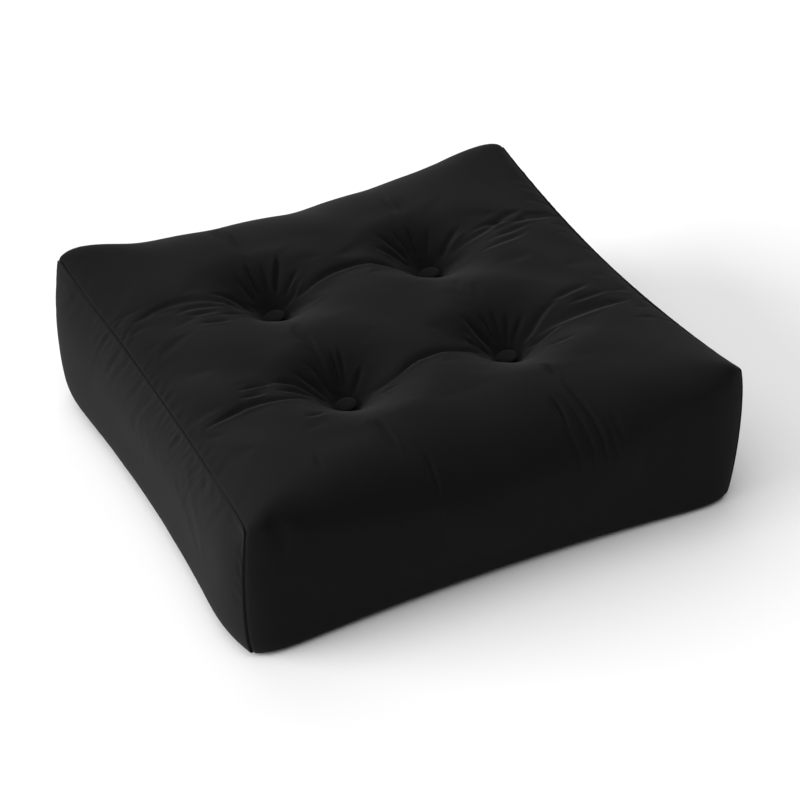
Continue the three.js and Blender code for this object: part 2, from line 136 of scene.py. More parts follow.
@dataclass(frozen=True)
class PlainForm:
    """The filled shape without its pits and folds, in millimetres.

    A place on the wrap panel is s, from -1 to 1 across the width, and q, the distance along the panel
    from the middle of the top, front negative.
    """

    half_width: float = 350.0
    half_depth: float = 323.0
    corner_height: float = 216.0
    crest_height: float = 227.0
    seam_dip: Pair = (20.0, 18.0)
    seam_draw_in: Pair = (12.0, 5.5)
    floor_draw_in: float = 20.0
    floor_draw_power: float = 1.6
    roll_power: float = 5.0
    puff: float = 5.0
    puff_power: float = 26.0
    corner_lift: float = 10.0
    corner_rise: tuple[float, float, float, float] = (-5.0, 7.0, 10.0, 7.0)
    corner_rise_power: float = 9.0
    seam_bow: float = 8.0
    seam_bow_power: float = 0.6
    corner_out: float = 5.0
    corner_out_power: float = 4.0
    corner_out_height: float = 45.0
    corner_round: float = 9.0
    front_round: Pair = (105.0, 74.0)
    back_round: Pair = (90.0, 56.0)
    floor_round: Pair = (15.0, 27.0)
    floor_lean: Pair = (5.0, 17.5)
    face_swell: float = 14.5
    face_swell_power: float = 17.0
    undercut: Pair = (8.5, 0.0)
    undercut_height: float = 34.0
    level_true: float = 200.0
    level_end: float = 250.0
    edge_end: float = 350.0
    face_end: float = 450.0
    wrap_end: float = 515.0
    ease: float = 12.0

    EASE_STEPS = (-2.0, -1.33, -0.67, 0.0, 0.67, 1.33, 2.0)
    CORNERS = ((-1.0, -1.0), (1.0, -1.0), (-1.0, 1.0), (1.0, 1.0))

    @property
    def corner(self) -> float:
        """Distance along the panel to a seam corner, half way round the upper edge."""
        return (self.level_end + self.edge_end) / 2.0

    def top_height(self, s: Array, v: Array) -> Array:
        """Height of the top at s across the width and v across the depth, both from -1 to 1."""
        end = np.abs(s)
        crest = self.crest_height + self.corner_lift * (s * v) ** 2
        puff = self.puff + self.corner_lift * v * v
        dip = np.where(s < 0, *self.seam_dip) * (1.0 - v * v)
        fall = self.crest_height - self.puff - self.corner_height + dip
        risen = crest - fall * end**self.roll_power - puff * end**self.puff_power
        for (across, along), rise in zip(self.CORNERS, self.corner_rise):
            near = np.clip(s * across, 0.0, 1.0) * np.clip(v * along, 0.0, 1.0)
            risen = risen + rise * near**self.corner_rise_power
        return risen

    def outline_shares(self, y: Array, z: Array) -> tuple[Array, Array]:
        """How near a place of an end's outline is to the middle of the depth, and how far up it is."""
        across = 1.0 - np.clip(np.abs(y) / self.half_depth, 0.0, 1.0) ** 2
        return across, np.clip(z / self.corner_height, 0.0, 1.0)

    def bow(self, y: Array, z: Array) -> Array:
        """How far an upright end seam bows out at a place of its outline."""
        across, up = self.outline_shares(y, z)
        return self.seam_bow * np.sin(math.pi * up) ** self.seam_bow_power * (1.0 - across)

    def end_reach(self, end: Array, y: Array, z: Array) -> Array:
        """Distance from the middle to an end seam, at a place of its outline."""
        left = np.asarray(end) < 0
        across, up = self.outline_shares(y, z)
        low_draw = self.floor_draw_in * across**self.floor_draw_power
        drawn = mix(low_draw, np.where(left, *self.seam_draw_in) * across, up)
        low = np.clip(1.0 - z / self.undercut_height, 0.0, 1.0)
        tucked = np.where(left, *self.undercut) * (1.0 - across) * (1.0 - np.sqrt(1.0 - low * low))
        back = np.clip(y / self.half_depth, 0.0, 1.0) ** self.corner_out_power
        out = self.corner_out * back * smooth(z / self.corner_out_height) * left
        return self.half_width - drawn + self.bow(y, z) - tucked + out

    def wrap(self, s: Array, q: Array) -> tuple[Array, Array]:
        """Places of the wrap panel, eased along its length, and the ways that they face.

        Args:
            s: places across the width.
            q: places along the panel, of the same shape.

        Returns:
            Points and unit normals, each with a last axis of x, y and z.
        """
        weights = np.exp(-0.5 * np.square(self.EASE_STEPS))
        points, normals = 0.0, 0.0
        for step, weight in zip(self.EASE_STEPS, weights / weights.sum()):
            shifted = np.clip(q + step * self.ease, -self.wrap_end, self.wrap_end)
            place, facing = self.sharp_wrap(s, shifted)
            points = points + weight * place
            normals = normals + weight * facing
        return points, normals / np.linalg.norm(normals, axis=-1, keepdims=True)

    def sharp_wrap(self, s: Array, q: Array) -> tuple[Array, Array]:
        """Places of the wrap panel before its curves are eased into each other, and their normals.

        Args:
            s: places across the width.
            q: places along the panel, of the same shape.

        Returns:
            Points and unit normals, each with a last axis of x, y and z.
        """
        side = np.where(q < 0, -1.0, 1.0)
        along = np.abs(q)
        middle = 1.0 - s * s
        round_y, round_z = (
            mix(self.corner_round, np.where(q < 0, front, back), middle)
            for front, back in zip(self.front_round, self.back_round)
        )
        floor_round = mix(*self.floor_round, middle)
        lean = mix(*self.floor_lean, middle)
        swell = self.face_swell * (1.0 - np.abs(s) ** self.face_swell_power)
        level = self.half_depth - round_y
        outer = way(along, self.level_true, self.level_end)
        turn = way(along, self.level_end, self.edge_end) * math.pi / 2.0
        down = way(along, self.edge_end, self.face_end)
        under = way(along, self.face_end, self.wrap_end) * math.pi / 2.0
        y_top = np.where(along <= self.level_true, along, mix(self.level_true, level, outer))
        y_edge = level + (round_y + swell) * np.sin(turn)
        y_low = self.half_depth + swell - lean * down * down - floor_round * (1.0 - np.cos(under))
        y = np.select([along <= self.level_end, along <= self.edge_end], [y_top, y_edge], y_low)
        crown = self.top_height(s, side * np.minimum(y / self.half_depth, 1.0))
        z_top = crown - round_z * (1.0 - np.cos(turn))
        edge_foot = self.top_height(s, side * np.ones_like(s)) - round_z
        z_low = mix(edge_foot, floor_round, down)
        z_under = floor_round * (1.0 - np.sin(under))
        z = np.select([along <= self.edge_end, along <= self.face_end], [z_top, z_low], z_under)
        edge_facing = np.arctan2(np.sin(turn) * round_z, np.cos(turn) * round_y)
        facing = np.where(along <= self.edge_end, edge_facing, math.pi / 2.0 + under)
        points = np.stack([s * self.end_reach(np.sign(s), side * y, z), side * y, z], axis=-1)
        normals = np.stack([np.zeros_like(y), side * np.sin(facing), np.cos(facing)], axis=-1)
        return points, normals


@dataclass(frozen=True)
class Fold:
    """A crease pressed into the wrap panel along a curve, or a ridge where its depth is negative.

    Places are x across and q along the panel, in millimetres. left and right are its half widths on
    either side of its run, fade is the share of the run in which it comes and goes, a sharpness of 2
    makes a rounded valley and 1 a crease, and lip is how far the cloth stands up on its right.
    """

    path: tuple[Pair, ...]
    depth: float
    left: float
    right: float
    fade: Pair = (0.35, 0.35)
    lip: float = 0.0
    sharpness: float = 1.6

    STEPS = 6
    FAR = 3.6
    END_WIDTH = 0.5
    LIP_PLACE = 2.0

    def run(self) -> Array:
        """Places along a smooth curve through the path."""
        known = np.array(self.path, float)
        known = np.concatenate([2.0 * known[:1] - known[1:2], known, 2.0 * known[-1:] - known[-2:-1]])
        t = (np.arange(self.STEPS) / self.STEPS)[:, None]
        pieces = []
        for a, b, c, d in zip(known, known[1:], known[2:], known[3:]):
            pieces.append(between(a, b, c, d, t))
        return np.concatenate([*pieces, known[-2:-1]])

    def add_to(self, sunk: Array, x: Array, q: Array, least: float = 0.0) -> None:
        """Adds the fold's depth to sunk at the places (x, q), with half widths of at least least."""
        run = self.run()
        wide = (max(self.left, least), max(self.right, least))
        reach = max(wide) * self.FAR
        low, high = run.min(0) - reach, run.max(0) + reach
        near = (x > low[0]) & (x < high[0]) & (q > low[1]) & (q < high[1])
        if not near.any():
            return
        place = np.stack([x[near], q[near]], axis=-1)
        away = np.full(len(place), np.inf)
        share = np.zeros(len(place))
        leftward = np.zeros(len(place))
        lengths = np.linalg.norm(np.diff(run, axis=0), axis=1)
        passed = np.concatenate([[0.0], np.cumsum(lengths)]) / lengths.sum()
        for k in range(len(run) - 1):
            step = run[k + 1] - run[k]
            to = place - run[k]
            part = np.clip(to @ step / (step @ step), 0.0, 1.0)
            gap = np.hypot(*(to - part[:, None] * step).T)
            closer = gap < away
            away = np.where(closer, gap, away)
            share = np.where(closer, mix(passed[k], passed[k + 1], part), share)
            leftward = np.where(closer, step[0] * to[:, 1] - step[1] * to[:, 0], leftward)
        shown = smooth(share / self.fade[0]) * smooth((1.0 - share) / self.fade[1])
        width = np.where(leftward > 0, *wide) * mix(self.END_WIDTH, 1.0, shown)
        valley = self.depth * np.exp(-((away / width) ** self.sharpness))
        from_lip = (away - self.LIP_PLACE * width) / width
        rise = np.where(leftward > 0, 0.0, self.lip * np.exp(-(from_lip**2)))
        sunk[near] += shown * (valley - rise)


@dataclass(frozen=True)
class Puckers:
    """Short puckers where cloth is gathered along a seam.

    pitch, reach and width are in millimetres, and lean is how far a pucker goes along the seam for
    each millimetre that it goes away from it. Each pucker draws its own place, reach, depth, width and
    lean as shares of these, between the named limits.
    """

    pitch: float
    reach: float
    depth: float
    width: float
    lean: float
    seed: int

    PLACES = (0.15, 0.85)
    REACHES = (0.4, 1.15)
    DEPTHS = (0.3, 1.0)
    WIDTHS = (0.75, 1.35)
    LEANS = (0.6, 1.4)
    BENDS = (-4.0, 4.0)
    OPENING = (0.7, 1.4)
    START = 5.0
    FADE_POWER = 1.3
    RIDGE = 0.6
    RIDGE_PLACE = 1.7

    def at(self, along: Array, away: Array, half: float) -> Array:
        """Depth at places along the seam, from -half to half, and away from it."""
        draw = np.random.default_rng(self.seed)
        count = max(1, round(2.0 * half / self.pitch))
        total = np.zeros_like(along + away)
        for index in range(count):
            place = half * (2.0 * (index + draw.uniform(*self.PLACES)) / count - 1.0)
            reach = self.reach * draw.uniform(*self.REACHES)
            depth = self.depth * draw.uniform(*self.DEPTHS)
            width = self.width * draw.uniform(*self.WIDTHS)
            lean = self.lean * draw.uniform(*self.LEANS)
            bend = draw.uniform(*self.BENDS)
            part = np.clip(away / reach, 0.0, 1.0)
            aside = along - place - lean * away - bend * np.sin(math.pi * part)
            spread = width * mix(*self.OPENING, part)
            shown = smooth(away / self.START) * (1.0 - part) ** self.FADE_POWER
            valley = np.exp(-((aside / spread) ** 2))
            ridge = np.exp(-(((aside - self.RIDGE_PLACE * spread) / spread) ** 2))
            total = total + depth * shown * (valley - self.RIDGE * ridge)
        return total


@dataclass(frozen=True)
class Tuft:
    """A button's place."""

    node: str
    x: float
    y: float


TUFTS = (
    Tuft("button_back_left", -119.0, 113.0),
    Tuft("button_back_right", 119.0, 113.0),
    Tuft("button_front_left", -119.0, -113.0),
    Tuft("button_front_right", 119.0, -113.0),
)
BROAD = {"left": 42.0, "right": 42.0, "fade": (0.2, 0.2), "sharpness": 2.0}
TROUGHS = (
    Fold(((-350, 122), (-235, 122), (-119, 113)), 3.0, **BROAD),
    Fold(((-119, 113), (0, 113), (119, 113)), 4.8, **BROAD),
    Fold(((119, 113), (235, 122), (350, 126)), 3.0, **BROAD),
    Fold(((-350, -120), (-235, -116), (-119, -113)), 3.0, **BROAD),
    Fold(((-119, -113), (0, -108), (119, -113)), 5.4, **BROAD),
    Fold(((119, -113), (235, -110), (350, -108)), 3.0, **BROAD),
    Fold(((-119, 113), (-124, 0), (-119, -113)), 2.5, **BROAD),
    Fold(((119, 113), (114, 0), (119, -113)), 2.5, **BROAD),
    Fold(((-119, 113), (-124, 210), (-128, 300)), 1.5, **BROAD),
    Fold(((119, 113), (119, 210), (119, 300)), 1.5, **BROAD),
    Fold(((-119, -113), (-121, -250), (-100, -380)), 1.5, **BROAD),
    Fold(((119, -113), (118, -250), (120, -380)), 1.5, **BROAD),
)
MAIN_FOLDS = (
    Fold(
        ((-95, 125), (-70, 120), (-38, 124), (0, 127), (32, 122), (62, 111), (94, 114)),
        5.6, 6.5, 3.8, (0.3, 0.25), 0.6,
    ),
    Fold(
        ((-99, -110), (-78, -119), (-52, -123), (-24, -115), (9, -112), (45, -112), (90, -107)),
        6.2, 8.0, 3.8, (0.25, 0.2), 0.7,
    ),
    Fold(
        ((-330, -120), (-303, -111), (-275, -108), (-240, -109), (-200, -114), (-145, -113)),
        3.8, 4.6, 3.6, (0.35, 0.45), 0.8,
    ),
    Fold(
        ((-325, 137), (-288, 147), (-250, 147), (-212, 137), (-180, 125), (-142, 115)),
        1.2, 5.0, 4.0, (0.5, 0.3), 0.5,
    ),
    Fold(((-206, 150), (-180, 143), (-158, 130), (-140, 117)), 3.2, 5.5, 4.0, (0.5, 0.3), 0.5),
    Fold(
        ((141, 119), (168, 119), (198, 119), (228, 130), (256, 142), (288, 150)),
        2.2, 5.0, 3.6, (0.35, 0.4), 0.6,
    ),
    Fold(((141, -106), (165, -98), (192, -84), (222, -79)), 5.5, 8.0, 4.0, (0.25, 0.5), 0.8),
    Fold(((150, -111), (205, -116), (258, -114), (322, -106)), 4.0, 12.0, 4.5, (0.35, 0.5), 0.8),
)
FINE_FOLDS = (
    Fold(((-78, 196), (-85, 178), (-93, 162), (-104, 142)), 5.0, 4.6, 3.2, (0.45, 0.15), 0.8),
    Fold(((-106, 190), (-108, 170), (-111, 146)), 2.6, 3.6, 3.6, (0.5, 0.2)),
    Fold(((-124, 200), (-129, 174), (-127, 144)), 4.0, 4.6, 3.6, (0.5, 0.15), 0.5),
    Fold(((-150, 182), (-145, 160), (-135, 138)), 3.0, 4.5, 4.5, (0.5, 0.2)),
    Fold(((-60, 158), (-75, 148), (-94, 134)), 4.0, 3.4, 3.4, (0.45, 0.15)),
    Fold(((-66, 146), (-77, 141), (-90, 134)), -2.2, 2.6, 2.6, (0.4, 0.3)),
    Fold(((-72, 132), (-85, 128), (-99, 123)), 3.6, 3.2, 3.2, (0.4, 0.15)),
    Fold(((-60, 138), (-78, 126), (-97, 119)), -2.2, 2.6, 2.6, (0.4, 0.2)),
    Fold(((-126, 306), (-125, 280), (-124, 254), (-125, 228)), -3.8, 2.4, 2.4, (0.3, 0.6)),
    Fold(((-135, 306), (-134, 278), (-133, 244)), 2.2, 6.0, 6.0, (0.4, 0.5)),
    Fold(((-248, 115), (-229, 111), (-200, 104)), 2.2, 4.0, 3.0, (0.4, 0.4), 0.5),
    Fold(((-268, 124), (-240, 128), (-210, 121), (-180, 113)), 2.0, 4.5, 3.4, (0.4, 0.4), 0.4),
    Fold(((-243, 90), (-219, 82), (-192, 74)), 3.0, 5.0, 3.0, (0.4, 0.4), 0.9),
    Fold(((-210, 96), (-186, 96), (-160, 102)), 2.4, 4.0, 3.2, (0.4, 0.3), 0.6),
    Fold(((-127, -82), (-127, -44), (-126, -8), (-126, 30)), 3.0, 8.0, 3.2, (0.25, 0.5), 1.0),
    Fold(((124, 268), (124, 244), (125, 216)), -2.4, 2.4, 2.4, (0.4, 0.5)),
    Fold(((114, 268), (115, 240), (117, 206)), 1.6, 5.0, 5.0, (0.4, 0.5)),
    Fold(((66, 186), (80, 164), (100, 138)), 5.0, 4.6, 4.0, (0.45, 0.15), 0.6),
    Fold(((50, 160), (72, 146), (98, 130)), 4.6, 4.6, 3.4, (0.45, 0.15), 0.8),
    Fold(((92, 190), (98, 168), (108, 142)), 3.0, 4.0, 4.0, (0.5, 0.2)),
    Fold(((118, 188), (116, 164), (115, 142)), 3.8, 4.0, 3.6, (0.5, 0.15), 0.4),
    Fold(((150, 176), (140, 158), (130, 138)), 2.8, 4.4, 4.4, (0.5, 0.2)),
    Fold(((190, 152), (168, 142), (144, 128)), 5.0, 4.0, 5.0, (0.45, 0.15)),
    Fold(((194, 140), (172, 132), (150, 124)), -2.0, 2.8, 2.8, (0.45, 0.3)),
    Fold(((186, 128), (222, 136), (262, 128)), 2.0, 4.0, 3.4, (0.4, 0.4), 0.6),
    Fold(((172, 76), (220, 82), (272, 96)), 2.6, 6.0, 3.6, (0.4, 0.4), 0.5),
    Fold(((196, 94), (236, 104), (286, 112)), 2.2, 5.0, 3.6, (0.4, 0.4), 0.4),
    Fold(((240, 120), (288, 126), (338, 132)), 1.8, 7.0, 4.0, (0.4, 0.4), 0.5),
    Fold(((306, 215), (330, 210), (343, 202)), 1.8, 4.0, 3.4, (0.5, 0.2), 0.5),
    Fold(((306, 203), (328, 199), (342, 186)), 1.8, 4.0, 3.4, (0.5, 0.2), 0.5),
    Fold(((-258, -76), (-229, -74), (-202, -79)), 4.0, 5.0, 2.8, (0.45, 0.4), 1.0),
    Fold(((-262, -89), (-241, -92), (-218, -94)), 2.6, 4.4, 2.8, (0.45, 0.4), 0.8),
    Fold(((-214, -72), (-182, -79), (-158, -94), (-138, -106)), 5.0, 6.0, 3.6, (0.35, 0.2), 0.8),
    Fold(((-212, -92), (-184, -97), (-156, -105)), 3.0, 4.4, 3.2, (0.4, 0.3), 0.6),
    Fold(((-176, -58), (-158, -76), (-137, -96)), 4.4, 4.6, 3.6, (0.4, 0.15), 0.4),
    Fold(((-150, -44), (-138, -68), (-128, -92)), 3.0, 4.0, 4.0, (0.45, 0.2)),
    Fold(((-107, -36), (-111, -66), (-115, -90)), 4.2, 3.4, 3.4, (0.45, 0.15), 0.6),
    Fold(((-96, -38), (-101, -64), (-109, -92)), 4.4, 3.2, 3.2, (0.45, 0.15), 0.6),
    Fold(((-76, -74), (-88, -86), (-103, -99)), 4.6, 4.0, 3.6, (0.4, 0.15), 0.6),
    Fold(((-88, -139), (-73, -143), (-57, -151)), 2.6, 4.6, 3.4, (0.4, 0.4), 0.6),
    Fold(((-206, -166), (-189, -168), (-168, -164)), 2.2, 4.0, 3.0, (0.45, 0.4), 0.7),
    Fold(((-124, -290), (-123, -268), (-122, -242), (-126, -212)), 2.6, 7.0, 3.2, (0.35, 0.5), 0.9),
    Fold(((-97, -336), (-96, -314), (-94, -296), (-95, -282)), 3.0, 5.0, 3.2, (0.35, 0.4), 0.7),
    Fold(((-91, -402), (-95, -368), (-99, -340)), 1.4, 6.0, 4.0, (0.5, 0.4), 0.3),
    Fold(((-226, -272), (-226, -252), (-221, -234)), 1.8, 4.4, 3.0, (0.45, 0.45), 0.5),
    Fold(((82, -46), (94, -74), (110, -94)), 5.0, 4.6, 4.0, (0.4, 0.15), 0.4),
    Fold(((64, -84), (84, -95), (102, -101)), 4.4, 4.4, 3.2, (0.4, 0.15), 0.8),
    Fold(((108, -44), (112, -66), (116, -90)), 3.4, 3.6, 3.6, (0.45, 0.2)),
    Fold(((129, -44), (126, -68), (123, -92)), 4.2, 3.4, 3.4, (0.45, 0.15), 0.6),
    Fold(((148, -54), (139, -76), (130, -94)), 4.0, 3.4, 3.4, (0.45, 0.15), 0.6),
    Fold(((168, -70), (150, -84), (135, -97)), 4.0, 3.6, 3.6, (0.4, 0.15), 0.4),
    Fold(((143, -116), (168, -125), (198, -124)), 3.8, 5.0, 3.4, (0.3, 0.4), 0.8),
    Fold(((200, -78), (237, -70), (282, -57)), 3.4, 6.0, 3.4, (0.4, 0.4), 0.7),
    Fold(((216, -94), (256, -88), (300, -78)), 2.5, 5.0, 3.4, (0.4, 0.4), 0.5),
    Fold(((152, -150), (172, -160), (196, -165)), 2.4, 4.6, 3.2, (0.4, 0.4), 0.6),
    Fold(((62, -142), (70, -152), (84, -158)), 1.8, 3.6, 3.0, (0.45, 0.4), 0.5),
    Fold(((122, -262), (125, -229), (123, -192)), 2.6, 6.0, 3.2, (0.4, 0.5), 0.8),
    Fold(((100, -306), (99, -288), (98, -270)), 4.2, 4.4, 3.0, (0.4, 0.4), 0.8),
    Fold(((106, -366), (101, -336), (97, -310), (98, -286)), 2.4, 4.4, 3.2, (0.4, 0.4), 0.4),
    Fold(((127, -366), (120, -320), (115, -290), (109, -262)), 2.8, 4.4, 3.2, (0.4, 0.4), 0.6),
    Fold(((143, -376), (137, -330), (133, -300), (127, -268), (124, -238)), 3.4, 4.6, 3.4, (0.35, 0.4), 0.7),
    Fold(((157, -368), (151, -338), (150, -310)), 2.2, 4.4, 3.2, (0.4, 0.4), 0.4),
    Fold(((168, -350), (162, -322), (160, -296)), 1.4, 5.0, 4.0, (0.45, 0.4), 0.3),
    Fold(((-320, -282), (-316, -310), (-312, -340), (-307, -388)), 4.5, 10.0, 14.0, (0.5, 0.5), 0.0, 2.0),
    Fold(((322, -322), (318, -340), (316, -358)), 1.2, 7.0, 7.0, (0.4, 0.5)),
)


@dataclass(frozen=True)
class SeamGroove:
    """The groove where two panels are sewn together, in millimetres.

    It is depth deep along the upper seams and changes, over change down from a corner, to the upright
    depth of the left or right end.
    """

    change: float
    depth: float = 3.6
    upright: Pair = (1.5, 0.5)
    width: float = 1.0
    power: float = 1.4

    def at(self, left: Array | bool, past_corner: Array, from_seam: Array) -> Array:
        """Depth at the left or right end, at distances past the corner and from the seam."""
        depth = mix(self.depth, np.where(left, *self.upright), smooth(past_corner / self.change))
        return depth * np.exp(-((from_seam / self.width) ** self.power))


@dataclass(frozen=True)
class Relief:
    """How the buttons, folds, seams and filling press the wrap panel in, in millimetres."""

    form: PlainForm
    pit_floor: float = 176.0
    pit_radius: float = 18.0
    pit_reach: float = 112.0
    pit_power: float = 2.5
    fold_hold: float = 4.0
    coarse_width: float = 8.0
    seam_fade: float = 24.0
    lumps: float = 1.5
    lump_waves: Waves = Waves(120.0, 11)
    streaks: float = 0.3
    streak_waves: Waves = Waves(34.0, 23)
    streak_length: float = 0.12
    streak_span: Pair = (40.0, 90.0)
    groove: SeamGroove = SeamGroove(60.0)
    gathers: tuple[Puckers, Puckers] = (
        Puckers(19.0, 34.0, 1.3, 4.0, 0.5, 5),
        Puckers(21.0, 34.0, 1.3, 4.0, 0.5, 8),
    )

    def pits(self, x: Array, q: Array) -> Array:
        """How near each place is to the foot of a pit, from 0 to 1."""
        total = np.zeros_like(x)
        for tuft in TUFTS:
            away = np.hypot(x - tuft.x, q - tuft.y)
            total += (1.0 - way(away, self.pit_radius, self.pit_reach)) ** self.pit_power
        return total

    def gathered(self, s: Array, q: Array) -> Array:
        """Depth of the short puckers on the top beside the end seams."""
        form = self.form
        from_seam = (1.0 - np.abs(s)) * form.half_width
        shown = 1.0 - smooth((np.abs(q) - form.level_end) / (form.corner - form.level_end))
        depths = [gather.at(q, from_seam, form.level_end) for gather in self.gathers]
        return shown * np.where(s < 0, *depths)

    def sunk(self, x: Array, q: Array, height: Array, fine: bool) -> Array:
        """How far each place is sunk below the plain form.

        Args:
            x: places across the panel.
            q: places along it.
            height: the plain form's height at each place.
            fine: whether narrow folds are wanted too.

        Returns:
            The depth at each place.
        """
        form, along = self.form, np.abs(q)
        folds = np.zeros_like(x)
        least = 0.0 if fine else self.coarse_width
        for fold in TROUGHS + MAIN_FOLDS + (FINE_FOLDS if fine else ()):
            fold.add_to(folds, x, q, least)
        pit = self.pits(x, q)
        low = smooth((along - form.edge_end) / (form.face_end - form.edge_end))
        uneven = self.lumps * self.lump_waves.at(x, q) * (1.0 - low) * (1.0 - pit)
        begun, gone = self.streak_span
        face = smooth((along - form.corner) / begun) * (1.0 - smooth((along - form.edge_end) / gone))
        hang = self.streaks * self.streak_waves.at(x, q * self.streak_length) * face
        return (height - self.pit_floor) * pit + folds * (1.0 - pit**self.fold_hold) + uneven + hang


@dataclass(frozen=True)
class Settling:
    """Lets cloth settle over its filling, held at its seams, floor and buttons.

    The cloth is cut larger than the form by slack, is blown against it by pressure, and moves no
    further than most, in millimetres. The slow part of its motion, over more than broad millimetres,
    is taken away again, so that the form keeps its size.
    """

    pressure: float = 4.0
    slack: float = 0.006
    frames: int = 20
    most: float = 1.0
    broad: float = 26.0
    stiffness: float = 20.0
    shear: float = 10.0
    bending: float = 2.0
    quality: int = 6

    def settle(self, points: Array, held: Array) -> Array:
        """Runs the cloth on a grid of points.

        Args:
            points: the grid in millimetres.
            held: whether each point is held.

        Returns:
            How far each point has moved, in millimetres.
        """
        rows, columns, _ = points.shape
        piece = Mould.piece("settling", points.reshape(-1, 3), Mould.grid_faces(rows, columns).tolist())
        group = piece.vertex_groups.new(name="held")
        group.add(np.flatnonzero(held).tolist(), 1.0, "REPLACE")
        cloth = piece.modifiers.new("settle", "CLOTH").settings
        cloth.vertex_group_mass = "held"
        cloth.quality = self.quality
        cloth.use_pressure = True
        cloth.uniform_pressure_force = self.pressure
        cloth.shrink_min = -self.slack
        cloth.tension_stiffness = self.stiffness
        cloth.compression_stiffness = self.stiffness
        cloth.shear_stiffness = self.shear
        cloth.bending_stiffness = self.bending
        cloth.effector_weights.gravity = 0.0
        scene = bpy.context.scene
        for step in range(1, self.frames + 1):
            scene.frame_set(step)
        settled = piece.evaluated_get(bpy.context.evaluated_depsgraph_get()).to_mesh()
        places = np.zeros(rows * columns * 3, np.float32)
        settled.vertices.foreach_get("co", places)
        bpy.data.objects.remove(piece)
        scene.frame_set(1)
        moved = places.reshape(rows, columns, 3).astype(float) / MM - points
        moved = moved - self.slow_part(moved, points)
        length = np.linalg.norm(moved, axis=-1, keepdims=True)
        log.info("settling: moved %.1f mm at most, %.2f mm on average", length.max(), length.mean())
        return moved * np.tanh(length / self.most) * self.most / np.maximum(length, 1e-6)

    def slow_part(self, moved: Array, points: Array) -> Array:
        """The part of a motion that changes slowly over a grid of points."""
        for axis in (0, 1):
            steps = np.linalg.norm(np.diff(points, axis=axis), axis=-1).mean(1 - axis)
            place = np.concatenate([[0.0], np.cumsum(steps)])
            share = np.exp(-0.5 * ((place[:, None] - place[None]) / self.broad) ** 2)
            share /= share.sum(1, keepdims=True)
            moved = np.moveaxis(np.tensordot(share, moved, axes=(1, axis)), 0, axis)
        return moved

    @staticmethod
    def spread(values: Array, coarse: tuple[Array, Array], fine: tuple[Array, Array]) -> Array:
        """Carries values from a coarse grid to a fine one.

        Args:
            values: values on the coarse grid, with a last axis of x, y and z.
            coarse: the coarse grid's lines along both axes.
            fine: the fine grid's lines along both axes.

        Returns:
            The values on the fine grid.
        """
        for axis in (0, 1):
            lines, wanted = coarse[axis], fine[axis]
            after = np.clip(np.searchsorted(lines, wanted), 1, len(lines) - 1)
            share = (wanted - lines[after - 1]) / (lines[after] - lines[after - 1])
            share = share.reshape((-1, 1, 1) if axis == 0 else (1, -1, 1))
            corners = [np.clip(after + k, 0, len(lines) - 1) for k in (-2, -1, 0, 1)]
            values = between(*(np.take(values, corner, axis=axis) for corner in corners), share)
        return values

    @staticmethod
    def every_other(lines: Array) -> Array:
        """Every other grid line, with the last one always among them."""
        return lines[::2] if len(lines) % 2 else np.append(lines[::2], lines[-1])


def linked(name: str, data: bpy.types.ID) -> bpy.types.Object:
    """A new object of this data, linked to the scene."""
    made = bpy.data.objects.new(name, data)
    bpy.context.scene.collection.objects.link(made)
    return made


class Mould:
    """Makes mesh objects from arrays of points and faces."""

    @staticmethod
    def piece(
        name: str, points: Array, faces: Sequence[Sequence[int]], cloth: Array | None = None
    ) -> bpy.types.Object:
        """A smooth mesh object.

        Args:
            name: the object's name.
            points: its points in millimetres.
            faces: its faces, wound to face outwards.
            cloth: each point's place on the flat cloth, in metres.

        Returns:
            The new object, linked to the scene.
        """
        mesh = bpy.data.meshes.new(name)
        mesh.from_pydata((points * MM).tolist(), [], [list(face) for face in faces])
        mesh.validate()
        if cloth is not None:
            layer = mesh.attributes.new("cloth_place", "FLOAT_VECTOR", "POINT")
            layer.data.foreach_set("vector", cloth.astype(np.float32).ravel())
        mesh.polygons.foreach_set("use_smooth", np.ones(len(mesh.polygons), bool))
        mesh.update()
        return linked(name, mesh)

    @staticmethod
    def grid_faces(rows: int, columns: int, start: int = 0, flip: bool = False) -> Array:
        """Quads of a grid whose points run row by row from the index start."""
        i, j = np.meshgrid(np.arange(rows - 1), np.arange(columns - 1), indexing="ij")
        a = (start + i * columns + j).ravel()
        quads = np.stack([a, a + columns, a + columns + 1, a + 1], axis=1)
        return quads[:, ::-1] if flip else quads

    @staticmethod
    def band(rim: Array, other: Array, flip: bool = False) -> Array:
        """Quads between two closed rims."""
        quads = np.stack([rim, np.roll(rim, -1), np.roll(other, -1), other], axis=1)
        return quads[:, ::-1] if flip else quads

    @staticmethod
    def fan(rim: Array, centre: int, flip: bool = False) -> Array:
        """Triangles between a closed rim and the point centre."""
        triangles = np.stack([rim, np.roll(rim, -1), np.full(len(rim), centre)], axis=1)
        return triangles[:, ::-1] if flip else triangles


class Value:
    """A shader socket that takes part in Python arithmetic."""

    def __init__(self, tree: "ShaderTree", socket: bpy.types.NodeSocket) -> None:
        """Keeps the socket and the tree that it is in."""
        self.tree = tree
        self.socket = socket

    def math(self, operation: str, *others: "Value | float") -> "Value":
        """A Math node with this value first."""
        sockets = dict(enumerate([self, *others]))
        return self.tree.value("ShaderNodeMath", {"operation": operation}, sockets)

    def __add__(self, other: "Value | float") -> "Value":
        """Adds."""
        return self.math("ADD", other)

    def __mul__(self, other: "Value | float") -> "Value":
        """Multiplies."""
        return self.math("MULTIPLY", other)

    def __sub__(self, other: "Value | float") -> "Value":
        """Takes the other away."""
        return self.math("SUBTRACT", other)

    def sine(self) -> "Value":
        """The sine."""
        return self.math("SINE")


